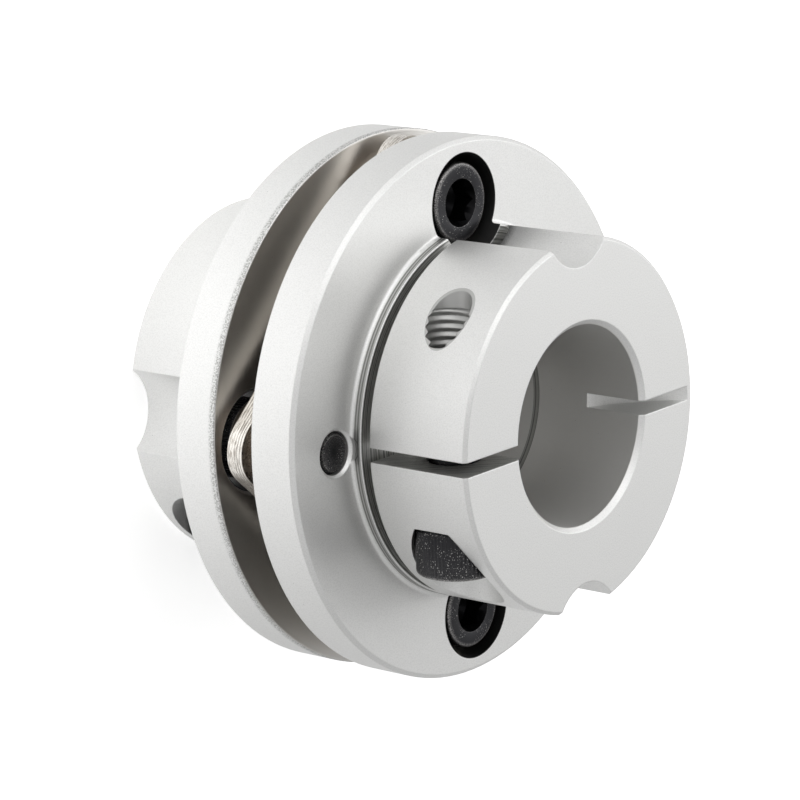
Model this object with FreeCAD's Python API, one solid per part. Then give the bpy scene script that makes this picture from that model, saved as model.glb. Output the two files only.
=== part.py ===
import FreeCAD, Part
import math
import os

# Disc coupling: two clamp hubs, each bolted through a springy pack of thin steel discs.
# It stands on the end face of its rear hub, with the shaft axis along +Z and all sizes in mm.
# A hub is described with its flange's inner face at z = 0, its slit towards -X and its two
# access holes on the Y axis. The rear hub is the same part, turned over onto the other side
# of the pack and a quarter turn round, so that its own screws come between the front ones.

Vector = FreeCAD.Vector
X_AXIS = Vector(1, 0, 0)
Y_AXIS = Vector(0, 1, 0)
Z_AXIS = Vector(0, 0, 1)
MARGIN = 1.0  # how far a cut runs past the metal

# Hub, as turned
BORE_D = 25.0
BORE_EDGE = 0.2
HUB_L = 23.9
FLANGE_D = 68.0
FLANGE_T = 6.5
FLANGE_EDGE = 0.5
INNER_EDGE = 0.15  # of the flange, next to the pack
RING_D = 46.5
RING_EDGE = 0.4
FOOT_FILLET = 0.5

# Saw cuts that make the end of the hub a clamp ring
BOSS_H = 1.5  # height of the whole boss left under the ring
BOSS_LIP = 0.15
SLOT_W = 1.45
SLOT_PAST_AXIS = 6.5
SLIT_W = 1.8
SAW_OFFSET = 0.4  # how far the slit and the relief cut lie off the axis, towards -Y
RELIEF_WALL = 1.1  # metal left outside the relief cut, at the end face
RELIEF_DEPTH = 8.5  # depth of the relief cut on the bore's wall
SAW_D = 63.0

# Places of the disc screws, two with their heads in each flange, and of their holes
PITCH_D = 52.0
ACCESS_D = 12.5
ACCESS_EDGE = 0.5  # where the hole opens towards the pack
TAPPED_EDGE = 0.35

# Disc pack, and the collars on both sides of it
LAMINATION_T = 0.39
LAMINATIONS = 6
DISC_INSET = 0.3  # of the lobes' tips, which lie on the bolt axes, from the flange's rim
DISC_LOBE_R = 4.5
DISC_HOLLOW_R = 325.0  # of the long hollow sides between the lobes
DISC_WINDOW_D = 36.0
DISC_HOLE_GAP = 0.1
COLLAR_D = 11.0
COLLAR_T = 1.73
COLLAR_HOLE_GAP = 0.2

# Place of the clamp screw, across the slit
CLAMP_OFFSET = 16.5  # from the shaft axis
CLAMP_DROP = 7.0  # from the end face
CLAMP_SEAT = 9.25  # from the shaft axis to the head's seat, along the screw
CLAMP_POCKET_GAP = 0.9
CLAMP_HOLE_GAP = 0.6

# M6 socket cap screws, which are the same but for their lengths
SCREW_D = 6.0
THREAD_D = 5.3  # the threaded end, at the thread's pitch diameter
THREAD_GAP = 0.1  # on the diameter, between a screw and the hole it is screwed into
DISC_SCREW_L = 12.0
CLAMP_SCREW_L = 20.0
HEAD_D = 10.0
HEAD_H = 6.0
HEAD_EDGE = 0.4
HEX = 5.0
HEX_DEPTH = 3.0
HEX_EDGE = 0.15
HEX_CONE = math.radians(30)  # slope of the socket's drilled floor
TIP_EDGE = 0.5

# Worked out from the sizes above
BORE_R = BORE_D / 2
FLANGE_R = FLANGE_D / 2
RING_R = RING_D / 2
PITCH_R = PITCH_D / 2
PACK_T = LAMINATION_T * LAMINATIONS
FLANGE_GAP = PACK_T + 2 * COLLAR_T
MID_Z = HUB_L + FLANGE_GAP / 2
SLOT_Z = FLANGE_T + BOSS_H
CLAMP_Z = HUB_L - CLAMP_DROP
CLAMP_SHANK_L = CLAMP_SEAT - SAW_OFFSET  # up to the middle of the slit
TAPPED_R = (THREAD_D + THREAD_GAP) / 2


def turned(edges):
    """A solid of revolution about Z, from the edges of a closed outline in the XZ plane."""
    face = Part.Face(Part.Wire(edges))
    return face.revolve(Vector(0, 0, 0), Z_AXIS, 360)


def lines(points):
    """Straight edges from each (radius, height) point to the next."""
    corners = [Vector(r, 0, z) for r, z in points]
    return [Part.LineSegment(a, b).toShape() for a, b in zip(corners, corners[1:])]


def hexagon(across_flats, length, base, axis):
    """A hexagonal prism that starts at base and runs along axis."""
    corner_r = across_flats / math.sqrt(3)
    corners = [
        Vector(corner_r * math.cos(k * math.pi / 3), corner_r * math.sin(k * math.pi / 3), 0)
        for k in range(6)
    ]
    prism = Part.Face(Part.makePolygon(corners + corners[:1])).extrude(Z_AXIS * length)
    prism.Placement = FreeCAD.Placement(base, FreeCAD.Rotation(Z_AXIS, axis))
    return prism


def turned_hub():
    """Flange, boss and clamp ring in one turned piece, before any hole or saw cut."""
    foot_r = RING_R + FOOT_FILLET
    foot_z = FLANGE_T + FOOT_FILLET
    fillet_middle = Vector(
        foot_r - FOOT_FILLET * math.sin(math.pi / 4),
        0,
        foot_z - FOOT_FILLET * math.cos(math.pi / 4),
    )
    flange = lines([
        (BORE_R + BORE_EDGE, 0),
        (FLANGE_R - INNER_EDGE, 0),
        (FLANGE_R, INNER_EDGE),
        (FLANGE_R, FLANGE_T - FLANGE_EDGE),
        (FLANGE_R - FLANGE_EDGE, FLANGE_T),
        (foot_r, FLANGE_T),
    ])
    fillet = Part.Arc(Vector(foot_r, 0, FLANGE_T), fillet_middle, Vector(RING_R, 0, foot_z))
    ring = lines([
        (RING_R, foot_z),
        (RING_R, HUB_L - RING_EDGE),
        (RING_R - RING_EDGE, HUB_L),
        (BORE_R + BORE_EDGE, HUB_L),
        (BORE_R, HUB_L - BORE_EDGE),
        (BORE_R, BORE_EDGE),
        (BORE_R + BORE_EDGE, 0),
    ])
    return turned(flange + [fillet.toShape()] + ring)


def access_holes():
    """Holes over the front screw heads, which run on as grooves along the clamp ring."""
    hole_r = ACCESS_D / 2
    hole = turned(lines([
        (0, 0),
        (hole_r + ACCESS_EDGE, 0),
        (hole_r, ACCESS_EDGE),
        (hole_r, HUB_L),
        (0, HUB_L),
        (0, 0),
    ]))
    return [hole.translated(Vector(0, side * PITCH_R, 0)) for side in (1, -1)]


def tapped_holes():
    """Tapped holes for the screws that come from the other hub, countersunk at both ends."""
    mouth_r = TAPPED_R + TAPPED_EDGE
    hole = turned(lines([
        (0, 0),
        (mouth_r, 0),
        (TAPPED_R, TAPPED_EDGE),
        (TAPPED_R, FLANGE_T - TAPPED_EDGE),
        (mouth_r, FLANGE_T),
        (mouth_r, FLANGE_T + MARGIN),
        (0, FLANGE_T + MARGIN),
        (0, 0),
    ]))
    return [hole.translated(Vector(side * PITCH_R, 0, 0)) for side in (1, -1)]


def transverse_slot():
    """The saw cut between boss and ring, from the slit's side to a little past the axis."""
    reach = RING_R + MARGIN
    slot = Part.makeBox(reach + SLOT_PAST_AXIS, 2 * reach, SLOT_W, Vector(-reach, -reach, SLOT_Z))
    lip = turned(lines([
        (RING_R - BOSS_LIP, SLOT_Z),
        (RING_R + MARGIN, SLOT_Z - BOSS_LIP - MARGIN),
        (RING_R + MARGIN, SLOT_Z + SLOT_W / 2),
        (RING_R - BOSS_LIP, SLOT_Z + SLOT_W / 2),
        (RING_R - BOSS_LIP, SLOT_Z),
    ]))
    sawn_side = Part.makeBox(
        reach + SLOT_PAST_AXIS, 2 * reach, HUB_L, Vector(-reach, -reach, 0)
    )
    return [slot, lip.common(sawn_side)]


def slit():
    """The cut through the ring's wall, closed up by the clamp screw."""
    reach = RING_R + MARGIN
    height = HUB_L - SLOT_Z + MARGIN
    corner = Vector(-reach, -SAW_OFFSET - SLIT_W / 2, SLOT_Z)
    return Part.makeBox(reach, SLIT_W, height, corner)


def relief_cut():
    """The arc that the saw leaves in the ring's far wall, from the end face into the bore."""
    rim = Vector(RING_R - RELIEF_WALL, 0, HUB_L)
    inner = Vector(BORE_R, 0, HUB_L - RELIEF_DEPTH)
    chord = rim - inner
    towards_saw = Vector(-chord.z, 0, chord.x).normalize()
    rise = math.sqrt((SAW_D / 2) ** 2 - (chord.Length / 2) ** 2)
    centre = (rim + inner) * 0.5 + towards_saw * rise - Y_AXIS * (SAW_OFFSET + SLIT_W / 2)
    return Part.makeCylinder(SAW_D / 2, SLIT_W, centre, Y_AXIS)


def clamp_holes():
    """Pocket for the clamp screw's head, its plain hole up to the slit, and its thread."""
    pocket_r = (HEAD_D + CLAMP_POCKET_GAP) / 2
    plain_r = (SCREW_D + CLAMP_HOLE_GAP) / 2
    seat = Vector(-CLAMP_OFFSET, -CLAMP_SEAT, CLAMP_Z)
    slit_middle = seat + Y_AXIS * CLAMP_SHANK_L
    return [
        Part.makeCylinder(pocket_r, RING_R, seat, -Y_AXIS),
        Part.makeCylinder(plain_r, CLAMP_SHANK_L + MARGIN, slit_middle, -Y_AXIS),
        Part.makeCylinder(TAPPED_R, RING_R + MARGIN, slit_middle, Y_AXIS),
    ]


def hub():
    """One clamp hub."""
    cuts = access_holes() + tapped_holes() + transverse_slot()
    cuts += [slit(), relief_cut()] + clamp_holes()
    return turned_hub().cut(cuts).removeSplitter()


def cap_screw(shank_l, length):
    """A socket cap screw along Z, its head's seat at z = 0 and its head above."""
    shank_r = SCREW_D / 2
    thread_r = THREAD_D / 2
    head_r = HEAD_D / 2
    body = turned(lines([
        (0, -length),
        (thread_r - TIP_EDGE, -length),
        (thread_r, TIP_EDGE - length),
        (thread_r, -shank_l),
        (shank_r, -shank_l),
        (shank_r, 0),
        (head_r, 0),
        (head_r, HEAD_H - HEAD_EDGE),
        (head_r - HEAD_EDGE, HEAD_H),
        (0, HEAD_H),
        (0, -length),
    ]))
    floor = Vector(0, 0, HEAD_H - HEX_DEPTH)
    socket = hexagon(HEX, HEX_DEPTH + MARGIN, floor, Z_AXIS)
    flat_r = HEX / 2
    mouth_r = HEX / math.sqrt(3) + HEX_EDGE
    mouth_depth = mouth_r - flat_r
    mouth = Part.makeCone(
        flat_r, mouth_r + MARGIN, mouth_depth + MARGIN, Vector(0, 0, HEAD_H - mouth_depth)
    )
    drill_depth = flat_r * math.tan(HEX_CONE)
    drilled = Part.makeCone(0, flat_r, drill_depth, floor - Z_AXIS * drill_depth)
    return body.cut([socket, mouth, drilled]).removeSplitter()


def clamp_screw():
    """The screw that pulls the slit together, lying across the hub with its head at -Y."""
    screw = cap_screw(CLAMP_SHANK_L, CLAMP_SCREW_L)
    seat = Vector(-CLAMP_OFFSET, -CLAMP_SEAT, CLAMP_Z)
    screw.Placement = FreeCAD.Placement(seat, FreeCAD.Rotation(Z_AXIS, -Y_AXIS))
    return screw


def disc_outline():
    """A disc's outline: a lobe on every bolt axis, joined by long hollow arcs between them."""
    lobe_reach = FLANGE_R - DISC_INSET - DISC_LOBE_R
    halfway = lobe_reach * math.cos(math.pi / 4)
    # Each hollow arc touches the circles of the two lobes beside it.
    hollow_reach = halfway + math.sqrt((DISC_HOLLOW_R + DISC_LOBE_R) ** 2 - halfway ** 2)
    diagonal = Vector(1, 1, 0).normalize()
    lobe = X_AXIS * lobe_reach
    hollow = diagonal * hollow_reach
    touch = lobe + (hollow - lobe).normalize() * DISC_LOBE_R
    before = Vector(touch.x, -touch.y, 0)
    after = Vector(touch.y, touch.x, 0)
    tip = lobe + X_AXIS * DISC_LOBE_R
    dip = diagonal * (hollow_reach - DISC_HOLLOW_R)
    edges = []
    for quarter in range(4):
        turn = FreeCAD.Rotation(Z_AXIS, 90 * quarter)
        edges.append(Part.Arc(*[turn * point for point in (before, tip, touch)]).toShape())
        edges.append(Part.Arc(*[turn * point for point in (touch, dip, after)]).toShape())
    return Part.Wire(edges)


def lamination():
    """One thin disc with a lobe at each screw and a round window."""
    disc = Part.Face(disc_outline()).extrude(Z_AXIS * LAMINATION_T)
    hole_r = (SCREW_D + DISC_HOLE_GAP) / 2
    holes = [
        Part.makeCylinder(hole_r, LAMINATION_T, PITCH_R * direction)
        for direction in (X_AXIS, Y_AXIS, -X_AXIS, -Y_AXIS)
    ]
    window = Part.makeCylinder(DISC_WINDOW_D / 2, LAMINATION_T)
    return disc.cut([window] + holes)


def collar():
    """A round steel collar that sits flat against the pack, its lower face at z = 0."""
    outer = Part.makeCylinder(COLLAR_D / 2, COLLAR_T)
    hole = Part.makeCylinder((SCREW_D + COLLAR_HOLE_GAP) / 2, COLLAR_T)
    return outer.cut(hole)


def on_front(shape, x=0.0, y=0.0, z=0.0):
    """A copy of a shape in the whole coupling's frame, z counted up from mid-plane."""
    return shape.translated(Vector(x, y, MID_Z + z))


def on_rear(shape, x=0.0, y=0.0, z=0.0):
    """The same copy, turned over onto the rear side and a quarter turn round."""
    copy = on_front(shape, x, y, z)
    copy.rotate(Vector(0, 0, MID_Z), X_AXIS + Y_AXIS, 180)
    return copy


def build():
    """Every piece of the coupling by its name."""
    pieces = {}
    disc_screw = cap_screw(FLANGE_GAP, DISC_SCREW_L)
    number = 0
    for side, place in (("front", on_front), ("rear", on_rear)):
        pieces[side + "_hub"] = place(hub(), z=FLANGE_GAP / 2)
        pieces[side + "_clamp_screw"] = place(clamp_screw(), z=FLANGE_GAP / 2)
        for y in (PITCH_R, -PITCH_R):
            number += 1
            pieces["disc_screw_%d" % number] = place(disc_screw, y=y, z=FLANGE_GAP / 2)
            pieces["head_collar_%d" % number] = place(collar(), y=y, z=PACK_T / 2)
            pieces["spacer_collar_%d" % number] = place(collar(), y=y, z=-FLANGE_GAP / 2)
    for layer in range(LAMINATIONS):
        height = layer * LAMINATION_T - PACK_T / 2
        pieces["disc_lamination_%d" % (layer + 1)] = on_front(lamination(), z=height)
    return pieces


os.makedirs("parts", exist_ok=True)
for name, piece in build().items():
    piece.exportStep("parts/%s.step" % name)
    print("%-20s valid %s volume %9.1f mm3" % (name, piece.isValid(), piece.Volume))
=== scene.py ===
"""Looks of a disc coupling: two clamp hubs, their screws, the collars and the pack of thin discs.

Lengths are in metres, in the coupling's own frame: the shaft axis is +Z, and the coupling stands
on the end face of its rear hub, at z = 0.
"""
import logging
import math
from dataclasses import dataclass
from enum import Enum
from typing import Any, Mapping, Optional, Sequence, Union

import bmesh
import bpy
from bmesh.types import BMEdge, BMVert, BMesh
from bpy.types import ID, Material, Mesh, Node, NodeSocket, NodeTree, Object
from mathutils import Euler, Matrix, Vector


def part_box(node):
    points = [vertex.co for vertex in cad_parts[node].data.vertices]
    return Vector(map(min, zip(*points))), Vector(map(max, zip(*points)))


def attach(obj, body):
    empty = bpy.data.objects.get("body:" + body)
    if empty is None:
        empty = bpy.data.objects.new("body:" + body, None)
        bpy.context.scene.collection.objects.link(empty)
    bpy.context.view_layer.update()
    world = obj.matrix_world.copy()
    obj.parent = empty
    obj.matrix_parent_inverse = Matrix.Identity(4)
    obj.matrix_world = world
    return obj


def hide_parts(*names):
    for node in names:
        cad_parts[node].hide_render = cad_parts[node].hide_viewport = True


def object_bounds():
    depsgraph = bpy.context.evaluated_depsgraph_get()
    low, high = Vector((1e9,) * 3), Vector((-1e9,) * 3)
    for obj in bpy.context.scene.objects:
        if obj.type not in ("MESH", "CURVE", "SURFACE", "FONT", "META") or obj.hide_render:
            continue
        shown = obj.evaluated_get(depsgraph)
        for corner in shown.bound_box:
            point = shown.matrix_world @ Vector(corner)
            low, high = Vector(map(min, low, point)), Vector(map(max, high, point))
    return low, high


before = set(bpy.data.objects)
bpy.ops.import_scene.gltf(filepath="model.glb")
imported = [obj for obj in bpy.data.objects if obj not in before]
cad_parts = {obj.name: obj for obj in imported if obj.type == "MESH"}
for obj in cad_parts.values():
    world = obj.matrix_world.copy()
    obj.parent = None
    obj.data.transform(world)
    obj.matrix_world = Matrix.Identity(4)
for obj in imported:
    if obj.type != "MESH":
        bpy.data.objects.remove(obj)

LOG = logging.getLogger("coupling")
CAD_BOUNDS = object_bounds()
MM = 0.001
MIDDLE = (CAD_BOUNDS[0][2] + CAD_BOUNDS[1][2]) / 2
TURN = 2 * math.pi
BODY = "root"
FLAT_CORNERS = 8
Colour = tuple[float, float, float]
Span = tuple[float, float]
Key = Union[int, str]
Edge = list[tuple[Vector, Vector]]


class Graph:
    """Adds nodes to one shader or geometry tree."""

    def __init__(self, tree: NodeTree) -> None:
        """Works on a given tree."""
        self.tree = tree

    def add(self, kind: str, inputs: Optional[Mapping[Key, Any]] = None, **settings: Any) -> Node:
        """Adds a node, sets its settings and then its sockets.

        Args:
            kind: The node's type, such as ShaderNodeMath.
            inputs: Values, sockets or wires, by a socket's number, name or identifier.
                An input with None keeps its own value.
            settings: Properties of the node.

        Returns:
            The new node.
        """
        node = self.tree.nodes.new(kind)
        for name, value in settings.items():
            setattr(node, name, value)
        for key, value in (inputs or {}).items():
            if value is not None:
                self._feed(self._find(node.inputs, key), value)
        return node

    def wire(self, node: Node, key: Key = 0) -> "Wire":
        """A node's output as a wire, by number, name or identifier."""
        return Wire(self, self._find(node.outputs, key))

    def output(self, kind: str, inputs: Any = None, **settings: Any) -> NodeSocket:
        """A new node's first output."""
        return self.add(kind, inputs, **settings).outputs[0]

    def number(self, kind: str, inputs: Any = None, **settings: Any) -> "Wire":
        """A new node's first output as a wire."""
        return Wire(self, self.output(kind, inputs, **settings))

    def split(self, vector: NodeSocket) -> list["Wire"]:
        """A vector's three numbers."""
        node = self.add("ShaderNodeSeparateXYZ", {0: vector})
        return [self.wire(node, axis) for axis in range(3)]

    def _find(self, sockets: Any, key: Key) -> NodeSocket:
        """The socket with a number, with an identifier or, where none has it, with a name."""
        if isinstance(key, int):
            return sockets[key]
        by_identifier = [s for s in sockets if s.identifier == key]
        by_name = [s for s in sockets if s.name == key]
        return (by_identifier or by_name)[0]

    def _feed(self, socket: NodeSocket, value: Any) -> None:
        """Links a wire or a socket to an input, or sets the input's own value."""
        if isinstance(value, Wire):
            value = value.socket
        if isinstance(value, NodeSocket):
            self.tree.links.new(value, socket)
        elif socket.type == "RGBA" and len(value) == 3:
            socket.default_value = (*value, 1.0)
        else:
            socket.default_value = value


class Wire:
    """A number's socket that Python expressions can add, multiply and compare."""

    def __init__(self, graph: Graph, socket: NodeSocket) -> None:
        """Holds a socket and the graph that it belongs to."""
        self.graph = graph
        self.socket = socket

    def __add__(self, other: "Number") -> "Wire":
        """Self plus other."""
        return self._math("ADD", self, other)

    def __sub__(self, other: "Number") -> "Wire":
        """Self minus other."""
        return self._math("SUBTRACT", self, other)

    def __rsub__(self, other: "Number") -> "Wire":
        """Other minus self."""
        return self._math("SUBTRACT", other, self)

    def __mul__(self, other: "Number") -> "Wire":
        """Self times other."""
        return self._math("MULTIPLY", self, other)

    def __truediv__(self, other: "Number") -> "Wire":
        """Self divided by other."""
        return self._math("DIVIDE", self, other)

    def __abs__(self) -> "Wire":
        """Self without its sign."""
        return self._math("ABSOLUTE", self)

    __radd__ = __add__
    __rmul__ = __mul__

    def root(self) -> "Wire":
        """The square root."""
        return self._math("SQRT", self)

    def at_least(self, low: "Number") -> "Wire":
        """The larger of self and another number."""
        return self._math("MAXIMUM", self, low)

    def limited(self) -> "Wire":
        """Self, kept between 0 and 1."""
        return self._math("ADD", self, 0.0, clamp=True)

    def angle(self, beside: "Wire") -> "Wire":
        """The angle of the point (beside, self) round the origin, in radians."""
        return self._math("ARCTAN2", self, beside)

    def step(self, low: float, high: float) -> "Wire":
        """Rises smoothly from 0 at low to 1 at high."""
        inputs = {"Value": self, "From Min": low, "From Max": high}
        return self.graph.number("ShaderNodeMapRange", inputs, interpolation_type="SMOOTHSTEP")

    def below(self, level: float, soft: float) -> "Wire":
        """1 up to a level, falling smoothly to 0 over a soft width above it."""
        return 1.0 - self.step(level, level + soft)

    def within(self, low: float, high: float, soft: float = 0.03 * MM) -> "Wire":
        """1 from low to high, and 0 from a little way outside them."""
        return self.step(low - soft, low) * self.below(high, soft)

    def waves(self) -> "Wire":
        """A saw-tooth with a period of 1 that goes from 0 up to 1 and back."""
        return self._math("PINGPONG", self, 0.5) * 2.0

    def _math(self, operation: str, *values: Any, clamp: bool = False) -> "Wire":
        """The result of a Math node on the given values, kept from 0 to 1 where asked."""
        inputs = dict(enumerate(values))
        return self.graph.number("ShaderNodeMath", inputs, operation=operation, use_clamp=clamp)


Number = Union[float, Wire]


def distance(*sides: Wire) -> Wire:
    """The length of a line that reaches so far along each axis."""
    return sum(side * side for side in sides).root()


def empty_tree(owner: ID) -> NodeTree:
    """Gives a material or a world a tree without nodes."""
    owner.use_nodes = True
    owner.node_tree.nodes.clear()
    return owner.node_tree


class Surface(Graph):
    """A material's graph with a Principled shader, and the patterns that the finishes share."""

    BEVEL_SAMPLES = 6

    def __init__(self, name: str) -> None:
        """Makes a material of that name with a shader and an output."""
        self.material = bpy.data.materials.new(name)
        super().__init__(empty_tree(self.material))
        self.shader = self.add("ShaderNodeBsdfPrincipled")
        self.add("ShaderNodeOutputMaterial", {"Surface": self.shader.outputs[0]})
        self.place = self.add("ShaderNodeTexCoord").outputs["Object"]

    def attribute(self, name: str) -> Wire:
        """A number that the mesh holds at its points."""
        return self.wire(self.add("ShaderNodeAttribute", attribute_name=name), "Fac")

    def noise(self, size: float, detail: float = 2.0, stretch: Sequence[float] = (1, 1, 1)) -> Wire:
        """Cloudy noise from 0 to 1.

        Args:
            size: The width of a typical cloud in metres.
            detail: How many finer layers it has.
            stretch: How many times longer the clouds are along X, Y and Z.

        Returns:
            The noise's value.
        """
        inputs = {0: self.place, 1: [1 / (size * s) for s in stretch]}
        scaled = self.output("ShaderNodeVectorMath", inputs, operation="MULTIPLY")
        inputs = {"Vector": scaled, "Scale": 1.0, "Detail": detail}
        return self.number("ShaderNodeTexNoise", inputs)

    def lines(self, across: Wire, width: float) -> Wire:
        """Uneven tool lines from 0 to 1, each about a width from the next across them."""
        inputs = {"W": across / width, "Scale": 1.0, "Detail": 2.0}
        return self.number("ShaderNodeTexNoise", inputs, noise_dimensions="1D")

    def blend(self, share: Number, first: Any, second: Any) -> NodeSocket:
        """A colour between two colours."""
        inputs = {"Factor_Float": share, "A_Color": first, "B_Color": second}
        node = self.add("ShaderNodeMix", inputs, data_type="RGBA")
        return self._find(node.outputs, "Result_Color")

    def rounded(self, radius: float) -> NodeSocket:
        """A normal that rounds the edges off to a small radius."""
        return self.output("ShaderNodeBevel", {"Radius": radius}, samples=self.BEVEL_SAMPLES)

    def bump(self, height: Wire, depth: float, normal: Any = None) -> NodeSocket:
        """A normal that follows a height from 0 to 1 over a depth in metres."""
        inputs = {"Height": height, "Distance": depth, "Strength": 1.0, "Normal": normal}
        return self.output("ShaderNodeBump", inputs)

    def finish(self, **sockets: Any) -> Material:
        """Feeds the shader's sockets, named with _ for a space, and gives the material."""
        for name, value in sockets.items():
            self._feed(self.shader.inputs[name.replace("_", " ").title()], value)
        return self.material


@dataclass(frozen=True)
class HubPlace:
    """A place on a hub, along the hub's own axes."""

    from_slit: Wire
    along_screw: Wire
    height: Wire
    radius: Wire


class Side(Enum):
    """The two hubs. The rear one is the front one turned over and a quarter turn round."""

    FRONT = "front"
    REAR = "rear"

    @property
    def outwards(self) -> Vector:
        """The direction from mid-plane to this hub's end face."""
        return Vector((0, 0, 1 if self is Side.FRONT else -1))

    @property
    def clamp_head(self) -> Vector:
        """The direction in which the clamp screw's head looks."""
        return Vector((0, -1, 0)) if self is Side.FRONT else Vector((-1, 0, 0))

    def place(self, surface: Surface) -> HubPlace:
        """A surface's place along this hub's own axes, with its height from mid-plane."""
        x, y, z = surface.split(surface.place)
        radius = distance(x, y)
        if self is Side.FRONT:
            return HubPlace(x, y, z - MIDDLE, radius)
        return HubPlace(y, x, MIDDLE - z, radius)


SCREW_HEADS = {1: Side.FRONT, 2: Side.FRONT, 3: Side.REAR, 4: Side.REAR}


@dataclass(frozen=True)
class HubSize:
    """The sizes of a hub that its finish and its thread go by, along the hub's own axes."""

    bore_radius: float = 12.5 * MM
    ring_radius: float = 23.25 * MM
    flange_radius: float = 34.0 * MM
    inner_face: float = 2.9 * MM
    flange_face: float = 9.4 * MM
    fillet: float = 0.5 * MM
    boss_top: float = 10.9 * MM
    slot_width: float = 1.45 * MM
    slot_end: float = 6.5 * MM
    slit_middle: float = -0.4 * MM
    slit_width: float = 1.8 * MM
    pitch_radius: float = 26.0 * MM
    access_radius: float = 6.25 * MM
    clamp_offset: float = 16.5 * MM
    clamp_height: float = 19.8 * MM
    clamp_plain_length: float = 8.85 * MM
    thread_mouth: float = 16.5 * MM
    thread_radius: float = 3.0 * MM
    thread_depth: float = 0.31 * MM
    end_face: float = 26.8 * MM
    bore_chamfer: float = 0.6 * MM


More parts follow.
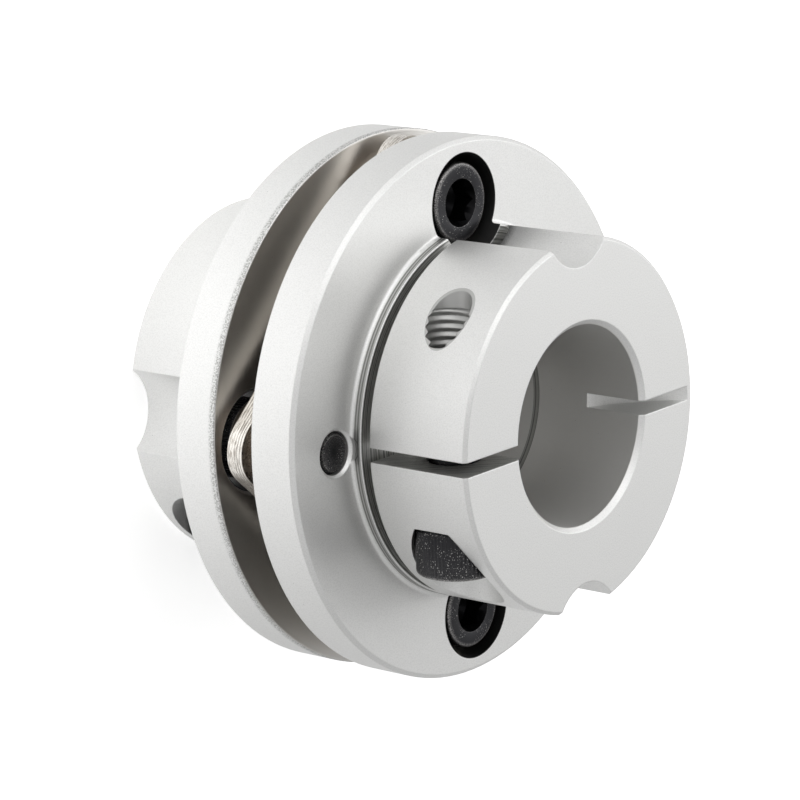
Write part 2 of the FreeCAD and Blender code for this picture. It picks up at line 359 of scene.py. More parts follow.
@dataclass(frozen=True)
class BlastedAluminium:
    """Bead-blasted, clear-anodised aluminium, with some faces left as the tools cut them."""

    size: HubSize
    colour: Colour = (0.82, 0.82, 0.81)
    grain_colour: Colour = (0.74, 0.74, 0.73)
    bore_colour: Colour = (0.79, 0.785, 0.77)
    inner_colour: Colour = (0.72, 0.705, 0.68)
    # A painted shade colour for the boss's wall under the ring.
    boss_shade_colour: Colour = (0.24, 0.24, 0.23)
    sawn_colour: Colour = (0.82, 0.82, 0.80)
    sawn_shade: Colour = (0.34, 0.34, 0.33)
    tapped_colour: Colour = (0.52, 0.52, 0.51)
    # A painted shade colour, nearly black, for the walls of the access holes.
    hole_shade_colour: Colour = (0.07, 0.07, 0.07)
    pit_colour: Colour = (0.30, 0.30, 0.29)
    roughness: float = 0.5
    inner_roughness: float = 0.32
    cloud_roughness: float = 0.06
    grain_roughness: float = 0.05
    cloud: float = 7 * MM
    grain: float = 0.16 * MM
    grain_depth: float = 0.006 * MM
    grain_span: Span = (0.35, 0.75)
    tool_line: float = 0.20 * MM
    tool_span: Span = (0.38, 0.60)
    saw_line: float = 0.30 * MM
    saw_span: Span = (0.36, 0.60)
    streak_share: float = 0.50
    edge: float = 0.20 * MM
    skin: float = 0.04 * MM
    bore_fade: float = 0.16 * MM
    cut_fade: float = 1.0 * MM
    groove_shade_reach: float = 1.4 * MM
    groove_shade_share: float = 0.7
    groove_shade_start: float = 0.35
    pit: float = 0.20 * MM
    pit_span: Span = (0.80, 0.83)
    rim_band_height: float = 1.1 * MM
    rim_speck_span: Span = (0.42, 0.60)
    rim_speck_share: float = 0.60
    rim_share: float = 0.16
    rim_width: float = 0.20 * MM

    def material(self, side: Side) -> Material:
        """Builds the finish of one hub, whose own axes the pattern follows."""
        s = Surface(side.value + "_hub_aluminium")
        at = side.place(s)
        size = self.size
        across = at.radius + at.height
        grain = s.noise(self.grain, 3.0)
        cloud = s.noise(self.cloud)
        streaks = s.lines(across, self.tool_line)
        saw = s.lines(across, self.saw_line).step(*self.saw_span)
        bore = at.radius.below(size.bore_radius + self.skin, self.bore_fade)
        inner = self._under(at.height, size.inner_face)
        wall = at.height.within(size.flange_face + size.fillet, size.boss_top - 3 * self.skin)
        streaked = 1 - self.streak_share + self.streak_share * streaks.step(*self.tool_span)
        # Painted shade on the boss's side wall under the ring, broken up by tool streaks.
        boss_shade = wall * self._under(at.radius, size.ring_radius) * streaked
        reach = distance(at.from_slit + size.clamp_offset, at.height - size.clamp_height)
        tapped = self._under(reach, size.thread_radius) * at.along_screw.step(0.0, self.cut_fade)
        colour = s.blend(grain.step(*self.grain_span), self.colour, self.grain_colour)
        for share, tint in (
            (bore, self.bore_colour),
            (inner, self.inner_colour),
            (boss_shade, self.boss_shade_colour),
            (self._sawn(at), s.blend(saw, self.sawn_shade, self.sawn_colour)),
            (tapped, self.tapped_colour),
            (self._pits(at, s.noise(self.pit, 1.0), side), self.pit_colour),
            # Painted shade: nearly black on the access holes' walls, fading unevenly over the
            # grooves beside them.
            (self._hole_shade(at, grain), self.hole_shade_colour),
        ):
            colour = s.blend(share, colour, tint)
        uneven = self.cloud_roughness * (cloud - 0.5) + self.grain_roughness * (grain - 0.5)
        smooth = self.roughness - self.inner_roughness
        height = grain + (streaks - grain) * (bore + inner + boss_shade).limited()
        return s.finish(
            base_color=colour,
            metallic=1.0,
            roughness=self.roughness - smooth * inner + uneven,
            normal=s.bump(height, self.grain_depth, s.rounded(self.edge)),
        )

    def _under(self, wire: Wire, level: float) -> Wire:
        """1 up to a skin's width above a level."""
        return wire.below(level + self.skin, self.skin)

    def _hole_shade(self, at: HubPlace, grain: Wire) -> Wire:
        """Painted shade, 0 to 1: 1 on the access holes' walls, and less on the grooves they leave.
        """
        size = self.size
        reach = distance(at.from_slit, abs(at.along_screw) - size.pitch_radius)
        wall = self._under(reach, size.access_radius)
        hole = at.height.below(size.boss_top - self.skin, self.skin)
        ring = size.boss_top + size.slot_width
        groove_shade = at.height.below(ring, self.groove_shade_reach) * at.height.step(ring - self.skin, ring)
        return wall * (hole + groove_shade * (self.groove_shade_start + grain) * self.groove_shade_share).limited()

    def _sawn(self, at: HubPlace) -> Wire:
        """1 on the walls of the slot and of the slit, and 0 elsewhere."""
        size = self.size
        slot = at.height.within(size.boss_top, size.boss_top + size.slot_width)
        slot = slot * self._under(at.from_slit, size.slot_end)
        half = size.slit_width / 2
        slit = at.along_screw.within(size.slit_middle - half, size.slit_middle + half)
        slit = slit * at.from_slit.below(-self.cut_fade, self.cut_fade)
        above = at.height.step(size.boss_top, size.boss_top + self.skin)
        return (slot + slit * above).limited()

    def _pits(self, at: HubPlace, pits: Wire, side: Side) -> Wire:
        """Pits anywhere, 0 to 1, and a darker speckled band on the rear flange's rim by the pack.
        """
        size = self.size
        anywhere = pits.step(*self.pit_span)
        if side is Side.FRONT:
            return anywhere
        rim = at.radius.step(size.flange_radius - self.rim_width, size.flange_radius - self.skin)
        rim = rim * at.height.below(size.inner_face + self.rim_band_height / 2, self.rim_band_height / 2)
        rim_specks = self.rim_share + self.rim_speck_share * pits.step(*self.rim_speck_span)
        return (anywhere + rim * rim_specks).limited()


@dataclass(frozen=True)
class BlackOxide:
    """Black-oxide alloy steel of the cap screws.

    A value of 1 rubs it bright: real wear on its sharp edges, and a painted highlight on the head's
    rim, the socket's mouth and the tip's edge. A value of -1 is painted shade, nearly black, deep
    in the socket.
    """

    colour: Colour = (0.030, 0.030, 0.033)
    rubbed_and_highlight: Colour = (0.42, 0.41, 0.40)
    oil_and_shade: Colour = (0.006, 0.006, 0.007)
    metallic: float = 0.85
    roughness: float = 0.34
    cloud_roughness: float = 0.12
    cloud: float = 1.6 * MM
    cloud_span: Span = (0.42, 0.56)
    grain: float = 0.11 * MM
    grain_depth: float = 0.008 * MM
    grain_span: Span = (0.35, 0.65)
    speck: float = 0.17 * MM
    speck_span: Span = (0.69, 0.76)

    def material(self) -> Material:
        """Builds the finish."""
        s = Surface("black_oxide_steel")
        grain = s.noise(self.grain, 3.0)
        cloud = s.noise(self.cloud)
        specks = s.noise(self.speck, 0.0).step(*self.speck_span) * cloud.step(*self.cloud_span)
        wear_highlight_and_shade = s.attribute("wear_highlight_and_shade")
        # Painted shade, nearly black, where the value is below 0: deep in the socket.
        socket_shade = (0.0 - wear_highlight_and_shade).limited()
        bright = (wear_highlight_and_shade * grain.step(*self.grain_span) + specks).limited() * (1.0 - socket_shade)
        unshaded = s.blend(bright, self.colour, self.rubbed_and_highlight)
        return s.finish(
            base_color=s.blend(socket_shade, unshaded, self.oil_and_shade),
            metallic=self.metallic,
            roughness=self.roughness + self.cloud_roughness * (cloud - 0.5),
            normal=s.bump(grain, self.grain_depth),
        )


@dataclass(frozen=True)
class SpringSteel:
    """Rolled stainless spring steel, with bright sheared edges and oil in its seams."""

    sheared: Colour = (0.80, 0.77, 0.72)
    rolled: Colour = (0.38, 0.34, 0.30)
    oil_and_shade: Colour = (0.07, 0.06, 0.05)
    roughness: float = 0.22
    tear_roughness: float = 0.20
    cloud: float = 4 * MM
    cloud_span: Span = (0.35, 0.75)
    cloud_share: float = 0.5
    tear: float = 0.20 * MM
    tear_stretch: tuple[float, float, float] = (5, 5, 0.6)
    tear_depth: float = 0.012 * MM
    tear_span: Span = (0.46, 0.62)
    tear_share: float = 0.8
    dull_span: Span = (0.4, 0.7)
    seam_span: Span = (0.0, 0.7)
    flat_span: Span = (0.85, 0.95)

    def material(self) -> Material:
        """Builds the finish."""
        s = Surface("spring_steel")
        tears = s.noise(self.tear, 3.0, self.tear_stretch)
        cloud = s.noise(self.cloud, 3.0)
        normal = s.add("ShaderNodeNewGeometry").outputs["Normal"]
        flat = abs(s.split(normal)[2]).step(*self.flat_span)
        seam = s.attribute("seam").step(*self.seam_span) * (1.0 - flat)
        torn = tears.step(*self.tear_span) * self.tear_share
        bare = cloud.step(*self.cloud_span) * self.cloud_share
        wall = s.blend(torn, self.sheared, self.rolled)
        face = s.blend(bare, self.rolled, self.sheared)
        return s.finish(
            base_color=s.blend(seam, s.blend(flat, wall, face), self.oil_and_shade),
            metallic=1.0,
            roughness=self.roughness + self.tear_roughness * tears.step(*self.dull_span),
            normal=s.bump(tears, self.tear_depth),
        )


@dataclass(frozen=True)
class TurnedSteel:
    """Turned steel of the collars, tinted brown by its oil."""

    colour: Colour = (0.46, 0.42, 0.38)
    stain: Colour = (0.28, 0.24, 0.20)
    roughness: float = 0.30
    line_roughness: float = 0.1
    cloud: float = 2 * MM
    cloud_span: Span = (0.35, 0.7)
    tool_line: float = 0.08 * MM
    line_depth: float = 0.006 * MM

    def material(self) -> Material:
        """Builds the finish."""
        s = Surface("turned_steel")
        lines = s.lines(s.split(s.place)[2], self.tool_line)
        cloud = s.noise(self.cloud, 3.0)
        return s.finish(
            base_color=s.blend(cloud.step(*self.cloud_span), self.colour, self.stain),
            metallic=1.0,
            roughness=self.roughness + self.line_roughness * (lines - 0.5),
            normal=s.bump(lines, self.line_depth),
        )


@dataclass(frozen=True)
class Ring:
    """One loop of points of a turned form, round its axis.

    A hexagonal ring takes its radius to the middle of a flat, and climbs by slope
    for each metre that it reaches out past that.
    """

    radius: float
    z: float
    hexagonal: bool = False
    slope: float = 0.0
    knurl: float = 0.0
    thread: float = 0.0
    wear_highlight_and_shade: float = 0.0

    def point(self, angle: float) -> Vector:
        """The ring's point at an angle in radians round its axis."""
        reach = self.radius
        if self.hexagonal:
            sixth = TURN / 6
            reach = self.radius / math.cos((angle % sixth) - sixth / 2)
        height = self.z + self.slope * (reach - self.radius)
        return Vector((reach * math.cos(angle), reach * math.sin(angle), height))


def bridge(bm: BMesh, lower: list[BMVert], upper: list[BMVert]) -> None:
    """Joins two closed loops of a mesh by quads, or by triangles at a pole."""
    count = max(len(lower), len(upper))
    for number in range(count):
        following = (number + 1) % count
        corners = [lower[number % len(lower)], lower[following % len(lower)],
                   upper[following % len(upper)], upper[number % len(upper)]]
        bm.faces.new(list(dict.fromkeys(corners)))


class TurnedForm:
    """A closed mesh lofted through rings, with a cap or a pole at each end."""

    LAYERS = ("knurl", "thread", "wear_highlight_and_shade")

    def __init__(self, columns: int) -> None:
        """Starts an empty mesh whose rings have so many points each."""
        self.columns = columns
        self.bm = bmesh.new()
        self.layers = {name: self.bm.verts.layers.float.new(name) for name in self.LAYERS}

    def loft(self, rings: Sequence[Ring]) -> None:
        """Adds one closed form.

        Args:
            rings: Its loops in order. One with radius 0 at either end is a pole, and any
                other end is closed by a flat face.
        """
        loops = [self._loop(ring) for ring in rings]
        for lower, upper in zip(loops, loops[1:]):
            bridge(self.bm, lower, upper)
        for end in (loops[0], loops[-1]):
            if len(end) > 1:
                self.bm.faces.new(end)

    def _loop(self, ring: Ring) -> list[BMVert]:
        """Adds the points of one ring, or its one point where it has no radius."""
        count = self.columns if ring.radius > 0 else 1
        loop = []
        for number in range(count):
            vert = self.bm.verts.new(ring.point(TURN * number / self.columns))
            for name, layer in self.layers.items():
                vert[layer] = getattr(ring, name)
            loop.append(vert)
        return loop

    def mesh(self, name: str) -> Mesh:
        """The finished mesh, its faces pointing outwards."""
        bmesh.ops.recalc_face_normals(self.bm, faces=self.bm.faces)
        return written(self.bm, name)


class FormTree:
    """A geometry tree with some numbers as inputs that ends in real, dressed geometry."""

    NAME = ""
    NUMBERS: tuple[str, ...] = ()

    def __init__(self) -> None:
        """Builds the tree's inputs and output, and then its nodes."""
        self.group = bpy.data.node_groups.new(self.NAME, "GeometryNodeTree")
        panel = self.group.interface
        self.sockets = {}
        for name in ("Geometry", "Material", *self.NUMBERS):
            kind = "Float" if name in self.NUMBERS else name
            socket = panel.new_socket(name, in_out="INPUT", socket_type="NodeSocket" + kind)
            self.sockets[name] = socket.identifier
        panel.new_socket("Geometry", in_out="OUTPUT", socket_type="NodeSocketGeometry")
        self.graph = Graph(self.group)
        self.source = self.graph.add("NodeGroupInput")
        real = self.graph.output("GeometryNodeRealizeInstances", {0: self._wire_up()})
        inputs = {"Geometry": real, "Material": self.source.outputs["Material"]}
        dressed = self.graph.output("GeometryNodeSetMaterial", inputs)
        self.graph.add("NodeGroupOutput", {0: dressed})

    def _wire_up(self) -> NodeSocket:
        """Adds the tree's own nodes and gives the geometry that they make."""
        raise NotImplementedError

    def apply(self, mesh: Mesh, values: Mapping[str, Any]) -> Mesh:
        """A new plain mesh of what the tree makes of a mesh, with its inputs' values by name."""
        carrier = put("carrier", mesh)
        modifier = carrier.modifiers.new(self.NAME, "NODES")
        modifier.node_group = self.group
        for name, value in values.items():
            modifier[self.sockets[name]] = value
        result = evaluated(carrier)
        bpy.data.objects.remove(carrier)
        return result


class RidgeTree(FormTree):
    """Presses knurls and threads into a turned form.

    It moves points towards the form's axis, as far as their knurl and thread values say.
    """

    NAME = "knurl_and_thread"
    NUMBERS = ("Knurl Count", "Knurl Depth", "Thread Pitch", "Thread Depth")
    CREST = 0.12
    NEAREST = 0.01 * MM

    def _wire_up(self) -> NodeSocket:
        """Adds the nodes that move the form's points."""
        g = self.graph
        count, knurl_depth, pitch, thread_depth = (g.wire(self.source, n) for n in self.NUMBERS)
        x, y, z = g.split(g.output("GeometryNodeInputPosition"))
        turns = y.angle(x) / TURN
        knurl = (turns * count).waves()
        winding = (z / pitch - turns).waves()
        ridge = ((winding - self.CREST) / (1 - 2 * self.CREST)).limited()
        inwards = (
            knurl * knurl_depth * self._layer("knurl")
            + ridge * thread_depth * self._layer("thread")
        )
        share = 0.0 - inwards / distance(x, y).at_least(self.NEAREST)
        offset = g.output("ShaderNodeCombineXYZ", {0: x * share, 1: y * share, 2: 0.0})
        inputs = {"Geometry": self.source.outputs["Geometry"], "Offset": offset}
        return g.output("GeometryNodeSetPosition", inputs)

    def _layer(self, name: str) -> Wire:
        """One of the form's own values at its points."""
        kind = "GeometryNodeInputNamedAttribute"
        return self.graph.number(kind, {"Name": name}, data_type="FLOAT")


class CollarTree(FormTree):
    """Sets a turned collar on every point of a mesh."""

    NAME = "collars"
    NUMBERS = ("Outer Radius", "Hole Radius", "Thickness", "Edge Radius")
    COLUMNS = 96
    EDGE_STEPS = 4

    def _wire_up(self) -> NodeSocket:
        """Adds the nodes that sweep a rounded section round a circle and copy the result."""
        g = self.graph
        outer, hole, thickness, edge = (g.wire(self.source, name) for name in self.NUMBERS)
        inputs = {"Width": outer - hole, "Height": thickness}
        section = g.output("GeometryNodeCurvePrimitiveQuadrilateral", inputs)
        inputs = {"Curve": section, "Count": self.EDGE_STEPS, "Radius": edge}
        rounded = g.output("GeometryNodeFilletCurve", inputs, mode="POLY")
        inputs = {"Resolution": self.COLUMNS, "Radius": (outer + hole) / 2}
        circle = g.output("GeometryNodeCurvePrimitiveCircle", inputs, mode="RADIUS")
        swept = g.output("GeometryNodeCurveToMesh", {"Curve": circle, "Profile Curve": rounded})
        inputs = {"Points": self.source.outputs["Geometry"], "Instance": swept}
        return g.output("GeometryNodeInstanceOnPoints", inputs)


def put(name: str, data: ID) -> Object:
    """Makes an object of a mesh, a light or a camera and links it to the scene."""
    thing = bpy.data.objects.new(name, data)
    bpy.context.scene.collection.objects.link(thing)
    return thing


def placed(point: Vector, way: Vector) -> Matrix:
    """The move that takes the origin to a point and turns +Z to a direction."""
    return Matrix.Translation(point) @ way.to_track_quat("Z", "Y").to_matrix().to_4x4()


def written(bm: BMesh, name: str) -> Mesh:
    """Turns a work mesh into a real one of that name, and frees it."""
    mesh = bpy.data.meshes.new(name)
    bm.to_mesh(mesh)
    bm.free()
    return mesh


def evaluated(piece: Object) -> Mesh:
    """A plain mesh of an object with its modifiers in it."""
    depsgraph = bpy.context.evaluated_depsgraph_get()
    return bpy.data.meshes.new_from_object(piece.evaluated_get(depsgraph))


def opened(*meshes: Mesh) -> BMesh:
    """A work mesh that holds the faces of one mesh or of several."""
    bm = bmesh.new()
    for mesh in meshes:
        bm.from_mesh(mesh)
    return bm


def carved(metal: Mesh, cutter: Mesh) -> Mesh:
    """A new plain mesh of what a closed cutter leaves of a closed piece of metal."""
    block, tool = (put("carving", mesh) for mesh in (metal, cutter))
    cut = block.modifiers.new("cut", "BOOLEAN")
    cut.operation = "DIFFERENCE"
    cut.solver = "EXACT"
    cut.object = tool
    result = evaluated(block)
    for thing in (block, tool):
        bpy.data.objects.remove(thing)
    return result


def shade(mesh: Mesh, crease: float = math.radians(28)) -> None:
    """Smooths a mesh, apart from large flats and from edges past a crease in radians."""
    bm = opened(mesh)
    for face in bm.faces:
        face.smooth = len(face.verts) <= FLAT_CORNERS
    for edge in bm.edges:
        edge.smooth = edge.is_manifold and edge.calc_face_angle(0.0) < crease
    bm.to_mesh(mesh)
    bm.free()


def add_piece(name: str, mesh: Mesh, material: Material, slot: str, *nodes: str) -> Object:
    """Puts a finished mesh in the scene as a piece of the coupling.

    Args:
        name: The piece's name.
        mesh: Its mesh, in the coupling's frame.
        material: Its finish.
        slot: Not used.
        nodes: The solids that it stands for.

    Returns:
        The new object.
    """
    mesh.materials.clear()
    mesh.materials.append(material)
    piece = put(name, mesh)
    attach(piece, BODY)
    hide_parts(*nodes)
    LOG.info("%s stands for %s with %d faces", name, ", ".join(nodes), len(mesh.polygons))
    return piece


@dataclass(frozen=True)
class ScrewSize:
    """The sizes that all of the coupling's socket cap screws share."""

    thread: float = 5.36 * MM
    shank: float = 6.0 * MM
    pitch: float = 1.0 * MM
    thread_depth: float = 0.42 * MM
    head: float = 10.0 * MM
    head_height: float = 6.0 * MM
    socket: float = 5.0 * MM
    socket_depth: float = 3.0 * MM
    knurls: int = 60
    knurl_depth: float = 0.11 * MM
    rim: float = 0.42 * MM
    knurl_start: float = 1.3 * rim
    knurl_end: float = 1.7 * rim
    land: float = 1.5 * rim
    mouth: float = 0.15 * MM
    mouth_slope: float = 2.0
    tip_edge: float = 0.5 * MM


@dataclass
class CapScrew:
    """A socket cap screw that stands for one of the frame's screws."""

    node: str
    head_way: Vector
    plain_length: float
    size: ScrewSize

    COLUMNS_PER_KNURL = 4
    SHANK_COLUMNS = 48
    RINGS_PER_TURN = 8
    RIM_STEPS = 6
    SHARP = 0.02 * MM

    def build(self, tree: RidgeTree, finish: Material) -> None:
        """Makes the screw's head and shank, and seats them on the frame's screw."""
        low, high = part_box(self.node)
        length = abs((high - low).dot(self.head_way)) - self.size.head_height
        head = TurnedForm(self.size.knurls * self.COLUMNS_PER_KNURL)
        head.loft(self._head_rings())
        shank = TurnedForm(self.SHANK_COLUMNS)
        shank.loft(self._shank_rings(length))
        values = {
            "Knurl Count": float(self.size.knurls),
            "Knurl Depth": self.size.knurl_depth,
            "Thread Pitch": self.size.pitch,
            "Thread Depth": self.size.thread_depth,
            "Material": finish,
        }
        parts = [tree.apply(form.mesh(self.node + "_form"), values) for form in (head, shank)]
        mesh = written(opened(*parts), self.node + "_screw")
        reach = length + self.size.head_height
        seat = (low + high) / 2 + self.head_way * (reach / 2 - self.size.head_height)
        mesh.transform(placed(seat, self.head_way))
        shade(mesh)
        add_piece(self.node + "_dressed", mesh, finish, "black_steel", self.node)

    def _head_rings(self) -> list[Ring]:
        """The head's rings, from its seat, over its rim, down to the socket's floor."""
        s = self.size
        radius = s.head / 2
        top = s.head_height
        flat = s.socket / 2
        mouth = flat / math.cos(TURN / 12) + s.mouth
        rings = [
            Ring(radius - s.rim, 0.0),
            Ring(radius, s.rim),
            Ring(radius, s.knurl_start, knurl=1.0),
            Ring(radius, top - s.knurl_end, knurl=1.0, wear_highlight_and_shade=0.1),
            Ring(radius, top - s.rim, wear_highlight_and_shade=0.2),
        ]
        # The rim's rounding gets a painted highlight, brightest halfway round it, besides the rub
        # of real wear.
        for step in range(1, self.RIM_STEPS + 1):
            angle = TURN / 4 * step / self.RIM_STEPS
            inset = s.rim * (1 - math.cos(angle))
            height = top - s.rim * (1 - math.sin(angle))
            rings.append(Ring(radius - inset, height, wear_highlight_and_shade=0.3 + 0.7 * math.sin(2 * angle)))
        foot = top - s.mouth_slope * (mouth - flat)
        return rings + [
            Ring(radius - s.land, top),
            Ring(mouth + 3 * self.SHARP, top),
            # A thin painted highlight round the socket's mouth, then painted shade, nearly black,
            # all down the socket.
            Ring(mouth, top - self.SHARP, wear_highlight_and_shade=0.4),
            Ring(mouth - self.SHARP, top - 3 * self.SHARP, wear_highlight_and_shade=-1.0),
            Ring(flat, foot, hexagonal=True, slope=s.mouth_slope, wear_highlight_and_shade=-1.0),
            Ring(flat, foot - s.mouth, hexagonal=True, wear_highlight_and_shade=-1.0),
            Ring(flat, top - s.socket_depth, hexagonal=True, wear_highlight_and_shade=-1.0),
            Ring(flat - self.SHARP, top - s.socket_depth - self.SHARP, wear_highlight_and_shade=-1.0),
            Ring(0.0, top - s.socket_depth - flat * math.tan(TURN / 12), wear_highlight_and_shade=-1.0),
        ]

    def _shank_rings(self, length: float) -> list[Ring]:
        """The rings of a shank so long, from under the head to the chamfered tip."""
        s = self.size
        radius = s.thread / 2
        start = -self.plain_length
        end = s.tip_edge - length
        steps = round((start - end) / s.pitch * self.RINGS_PER_TURN)
        rings = [Ring(s.shank / 2, self.SHARP), Ring(s.shank / 2, start)]
        for step in range(steps + 1):
            z = start + (end - start) * step / steps
            rings.append(Ring(radius, z, thread=min(1.0, step / self.RINGS_PER_TURN), wear_highlight_and_shade=0.2))
        tip = radius - s.tip_edge
        return rings + [
            # A painted highlight on the edge of the tip.
            Ring(tip, -length, wear_highlight_and_shade=1.0),
            Ring(tip - 4 * self.SHARP, -length, wear_highlight_and_shade=0.3),
            Ring(0.0, -length),
        ]


@dataclass(frozen=True)
class Collars:
    """The eight turned collars, one on each side of the pack at every screw."""

    outer_radius: float = 5.5 * MM
    hole_radius: float = 3.1 * MM
    edge: float = 0.14 * MM

    def build(self, tree: CollarTree, finish: Material) -> None:
        """Sets one collar on the middle of each of the frame's collars."""
        nodes = [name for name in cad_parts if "_collar_" in name]
        boxes = [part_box(name) for name in nodes]
        places = bpy.data.meshes.new("collar_places")
        places.from_pydata([(low + high) / 2 for low, high in boxes], [], [])
        low, high = boxes[0]
        values = {
            "Outer Radius": self.outer_radius,
            "Hole Radius": self.hole_radius,
            "Thickness": high.z - low.z,
            "Edge Radius": self.edge,
            "Material": finish,
        }
        mesh = tree.apply(places, values)
        mesh.name = "collars"
        shade(mesh)
        add_piece("collars_dressed", mesh, finish, "collar_steel", *nodes)


def arc(
    centre: Vector, radius: float, start: float, end: float, steps: int, hollow: bool = False
) -> Edge:
    """Runs along an arc, without its last point.

    Args:
        centre: The arc's centre.
        radius: Its radius.
        start: The angle of its first point in radians.
        end: The angle of its last point.
        steps: How many points it gets.
        hollow: Whether the metal lies outside the arc's circle.

    Returns:
        The place of each point, and the way out of the metal there.
    """
    points = []
    for step in range(steps):
        angle = start + (end - start) * step / steps
        way = Vector((math.cos(angle), math.sin(angle), 0))
        points.append((centre + way * radius, -way if hollow else way))
    return points


@dataclass(frozen=True)
class DiscPack:
    """The six thin spring-steel discs, with a lobe at each screw and a round window."""

    lobe_reach: float = 29.2 * MM
    lobe_radius: float = 4.5 * MM
    hollow_radius: float = 325.0 * MM
    window_radius: float = 18.0 * MM
    hole_radius: float = 3.05 * MM
    pitch_radius: float = 26.0 * MM
    soft_edge: float = 0.07 * MM
    sharp_edge: float = 0.01 * MM
    close_pair: tuple[int, int] = (2, 3)

    COUNT = 6
    LOBE_STEPS = 36
    HOLLOW_STEPS = 24
    HOLE_STEPS = 48
    WINDOW_STEPS = 144
    EDGE_STEPS = 3

    def build(self, finish: Material) -> None:
        """Makes each disc in the place of the frame's own."""
        for number in range(1, self.COUNT + 1):
            node = "disc_lamination_%d" % number
            low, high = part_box(node)
            edge = self.sharp_edge if number in self.close_pair else self.soft_edge
            mesh = self._disc(node, low.z, high.z, edge)
            shade(mesh)
            add_piece(node + "_dressed", mesh, finish, "spring_steel", node)

    def _outline(self) -> Edge:
        """The outer edge: four lobes, joined by long hollow arcs that touch them."""
        halfway = self.lobe_reach * math.cos(TURN / 8)
        between = math.sqrt((self.hollow_radius + self.lobe_radius) ** 2 - halfway ** 2)
        reach = (halfway + between) * math.cos(TURN / 8)
        touch = math.atan2(reach, reach - self.lobe_reach)
        points = []
        for quarter in range(4):
            turn = Matrix.Rotation(TURN / 4 * quarter, 3, "Z")
            lobe = Vector((self.lobe_reach, 0, 0))
            hollow = Vector((reach, reach, 0))
            own = arc(lobe, self.lobe_radius, -touch, touch, self.LOBE_STEPS)
            own += arc(hollow, self.hollow_radius, touch - TURN / 2,
                       -TURN / 4 - touch, self.HOLLOW_STEPS, hollow=True)
            points += [(turn @ place, turn @ way) for place, way in own]
        return points

    def _round_holes(self) -> list[Edge]:
        """The edges of the window and of the four screw holes."""
        holes = [arc(Vector(), self.window_radius, 0, TURN, self.WINDOW_STEPS, hollow=True)]
        for quarter in range(4):
            turn = Matrix.Rotation(TURN / 4 * quarter, 3, "Z")
            centre = turn @ Vector((self.pitch_radius, 0, 0))
            holes.append(arc(centre, self.hole_radius, 0, TURN, self.HOLE_STEPS, hollow=True))
        return holes

    def _disc(self, name: str, bottom: float, top: float, edge: float) -> Mesh:
        """One disc with its edges rounded.

        Args:
            name: The mesh's name.
            bottom: The height of its rear face.
            top: The height of its front face.
            edge: The radius of its rounded edges.

        Returns:
            The closed mesh.
        """
        bm = bmesh.new()
        seam = bm.verts.layers.float.new("seam")
        rims: dict[bool, list[BMEdge]] = {False: [], True: []}
        for loop in [self._outline(), *self._round_holes()]:
            rings = []
            for inset, height in self._section(bottom, top, edge):
                ring = self._ring(bm, loop, inset, height)
                for vert in ring:
                    vert[seam] = inset / self.soft_edge
                rings.append(ring)
            for lower, upper in zip(rings, rings[1:]):
                bridge(bm, lower, upper)
            for at_top, ring in ((False, rings[0]), (True, rings[-1])):
                ends = zip(ring, ring[1:] + ring[:1])
                rims[at_top] += [bm.edges.get(pair) for pair in ends]
        for rim in rims.values():
            bmesh.ops.triangle_fill(bm, use_beauty=True, edges=rim)
        bmesh.ops.recalc_face_normals(bm, faces=bm.faces)
        return written(bm, name)

    def _section(self, bottom: float, top: float, edge: float) -> list[tuple[float, float]]:
        """Rounds both edges of a disc's wall.

        Args:
            bottom: The height of the rear face.
            top: The height of the front face.
            edge: The radius of the edges.

        Returns:
            The wall's (inset, height) from the rear face to the front face.
        """
        corner = [TURN / 4 * step / self.EDGE_STEPS for step in range(self.EDGE_STEPS + 1)]
        lower = [(edge * (1 - math.sin(a)), bottom + edge * (1 - math.cos(a))) for a in corner]
        upper = [(inset, bottom + top - height) for inset, height in reversed(lower)]
        return lower + upper

    def _ring(self, bm: BMesh, loop: Edge, inset: float, height: float) -> list[BMVert]:
        """The points of an edge, drawn back into the metal and set at a height."""
        lift = Vector((0, 0, height))
        return [bm.verts.new(place - way * inset + lift) for place, way in loop]


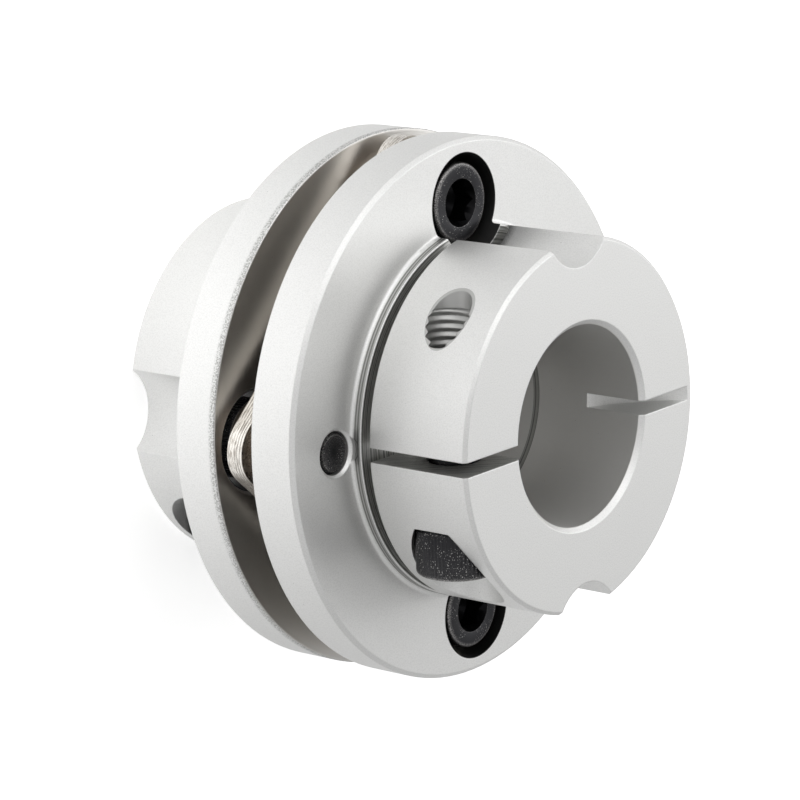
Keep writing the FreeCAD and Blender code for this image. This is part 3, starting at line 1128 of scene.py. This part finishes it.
@dataclass
class ClampHub:
    """One hub, with its real thread cut into the clamp screw's hole."""

    side: Side
    size: HubSize

    MERGE = 0.001 * MM
    FLAT = math.radians(0.6)
    PAST = 0.4 * MM
    BORE_COLUMNS = 180

    def build(self, tree: RidgeTree, screw: ScrewSize, finish: Material) -> None:
        """Copies the frame's hub as a clean mesh, taps its clamp hole and chamfers its bore."""
        node = self.side.value + "_hub"
        metal = self._clean_copy(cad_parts[node].data)
        mesh = carved(carved(metal, self._tap(tree, screw)), self._countersink())
        shade(mesh)
        add_piece(node + "_dressed", mesh, finish, "hub_aluminium", node)

    def _clean_copy(self, source: Mesh) -> Mesh:
        """A copy with its loose triangles joined and each of its flats made one face."""
        bm = opened(source)
        bmesh.ops.remove_doubles(bm, verts=bm.verts, dist=self.MERGE)
        bmesh.ops.dissolve_limit(bm, angle_limit=self.FLAT, verts=bm.verts, edges=bm.edges)
        return written(bm, self.side.value + "_hub_metal")

    def _countersink(self) -> Mesh:
        """The cutter of the bore's mouth: a closed cone at the hub's end face."""
        s = self.size
        past = s.bore_chamfer + self.PAST
        form = TurnedForm(self.BORE_COLUMNS)
        form.loft([
            Ring(s.bore_radius - self.PAST, s.end_face - past),
            Ring(s.bore_radius + past, s.end_face + self.PAST),
        ])
        mesh = form.mesh("countersink")
        mesh.transform(placed(Vector((0, 0, MIDDLE)), self.side.outwards))
        return mesh

    def _tap(self, tree: RidgeTree, screw: ScrewSize) -> Mesh:
        """The form of the tap, which lies beyond the shaft axis from the screw's head."""
        steps = round(self.size.thread_mouth / screw.pitch * CapScrew.RINGS_PER_TURN)
        form = TurnedForm(CapScrew.SHANK_COLUMNS)
        form.loft([
            Ring(self.size.thread_radius, self.size.thread_mouth * step / steps, thread=1.0)
            for step in range(steps + 1)
        ])
        values = {"Thread Pitch": screw.pitch, "Thread Depth": self.size.thread_depth}
        mesh = tree.apply(form.mesh("tap"), values)
        away = -self.side.clamp_head
        low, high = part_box(self.side.value + "_clamp_screw")
        middle = (low + high) / 2
        mesh.transform(placed(middle - away * middle.dot(away), away))
        return mesh


@dataclass(frozen=True)
class PhotoCamera:
    """The photograph's camera: where it stands, how it is turned and its lens."""

    place: tuple[float, float, float] = (-354.90 * MM, 111.59 * MM, 316.55 * MM)
    turn: tuple[float, float, float] = (-11.336, -51.020, -3.039)
    lens: float = 168.51
    sensor: float = 36.0
    nearest: float = 0.01
    farthest: float = 20.0

    def build(self) -> None:
        """Sets the camera up as the scene's own."""
        data = bpy.data.cameras.new("camera")
        data.lens = self.lens
        data.sensor_width = self.sensor
        data.clip_start = self.nearest
        data.clip_end = self.farthest
        camera = put("camera", data)
        camera.location = self.place
        camera.rotation_euler = Euler([math.radians(angle) for angle in self.turn])
        bpy.context.scene.camera = camera


@dataclass(frozen=True)
class Lamp:
    """A square soft lamp that looks at the coupling's middle from a metre away."""

    name: str
    way: tuple[float, float, float]
    power: float
    size: float

    REACH = 1.0

    def build(self) -> None:
        """Puts the lamp in the scene."""
        data = bpy.data.lights.new(self.name, "AREA")
        data.shape = "SQUARE"
        data.size = self.size
        data.energy = self.power
        lamp = put(self.name, data)
        way = Vector(self.way).normalized()
        lamp.location = way * self.REACH + Vector((0, 0, MIDDLE))
        lamp.rotation_euler = way.to_track_quat("Z", "Y").to_euler()


@dataclass(frozen=True)
class Studio:
    """A white floor with a pool of light beside the coupling, a pale world and soft lamps."""

    floor_size: float = 6.0
    floor_colour: Colour = (0.86, 0.86, 0.86)
    floor_glow: float = 0.55
    pool_place: tuple[float, float] = (-56 * MM, 20 * MM)
    pool_radius: float = 105 * MM
    pool_glow: float = 0.72
    world: float = 0.530
    lamps: tuple[Lamp, ...] = (
        Lamp("upper left", (-0.50, 0.85, 0.30), 4.80, 1.3),
        Lamp("mirrored", (0.70, 0.30, 0.60), 3.60, 1.0),
        Lamp("high", (0.00, 0.70, 0.70), 1.00, 0.7),
        Lamp("lower left", (-0.65, -0.30, 0.60), 0.36, 0.7),
    )

    def build(self) -> None:
        """Sets up the floor, the world and the lamps."""
        bpy.context.scene.view_settings.view_transform = "Standard"
        self._floor()
        self._world()
        for lamp in self.lamps:
            lamp.build()

    def _floor(self) -> None:
        """A large pale floor that shows white away from the coupling's shadow."""
        bpy.ops.mesh.primitive_grid_add(x_subdivisions=1, y_subdivisions=1, size=self.floor_size)
        floor = bpy.context.object
        floor.name = "floor"
        material = bpy.data.materials.new("floor")
        g = Graph(empty_tree(material))
        ray = g.add("ShaderNodeLightPath")
        mirrored = g.wire(ray, "Is Glossy Ray") + g.wire(ray, "Is Transmission Ray")
        spot = g.split(g.add("ShaderNodeNewGeometry").outputs["Position"])
        x, y = (axis - middle for axis, middle in zip(spot, self.pool_place))
        pool = distance(x, y).below(0.0, self.pool_radius) * self.pool_glow
        glow = g.wire(ray, "Is Camera Ray") * self.floor_glow + mirrored * pool
        paint = g.output("ShaderNodeBsdfDiffuse", {"Color": self.floor_colour})
        light = g.output("ShaderNodeEmission", {"Strength": glow})
        both = g.output("ShaderNodeAddShader", {0: paint, 1: light})
        g.add("ShaderNodeOutputMaterial", {"Surface": both})
        floor.data.materials.append(material)

    def _world(self) -> None:
        """An even pale world, which the camera sees as white."""
        world = bpy.data.worlds.new("studio")
        g = Graph(empty_tree(world))
        ray = g.add("ShaderNodeLightPath")
        strength = self.world + g.wire(ray, "Is Camera Ray") * (1 - self.world)
        sky = g.output("ShaderNodeBackground", {"Color": (1.0, 1.0, 1.0), "Strength": strength})
        g.add("ShaderNodeOutputWorld", {"Surface": sky})
        bpy.context.scene.world = world


def main() -> None:
    """Builds the camera, the studio and every piece."""
    logging.basicConfig(level=logging.INFO, format="%(message)s")
    PhotoCamera().build()
    Studio().build()
    ridges = RidgeTree()
    black = BlackOxide().material()
    screw = ScrewSize()
    hub = HubSize()
    for side in Side:
        ClampHub(side, hub).build(ridges, screw, BlastedAluminium(hub).material(side))
        clamp = side.value + "_clamp_screw"
        CapScrew(clamp, side.clamp_head, hub.clamp_plain_length, screw).build(ridges, black)
    for number, side in SCREW_HEADS.items():
        node = "disc_screw_%d" % number
        CapScrew(node, side.outwards, 2 * hub.inner_face, screw).build(ridges, black)
    Collars().build(CollarTree(), TurnedSteel().material())
    DiscPack().build(SpringSteel().material())


if __name__ == "__main__":
    main()
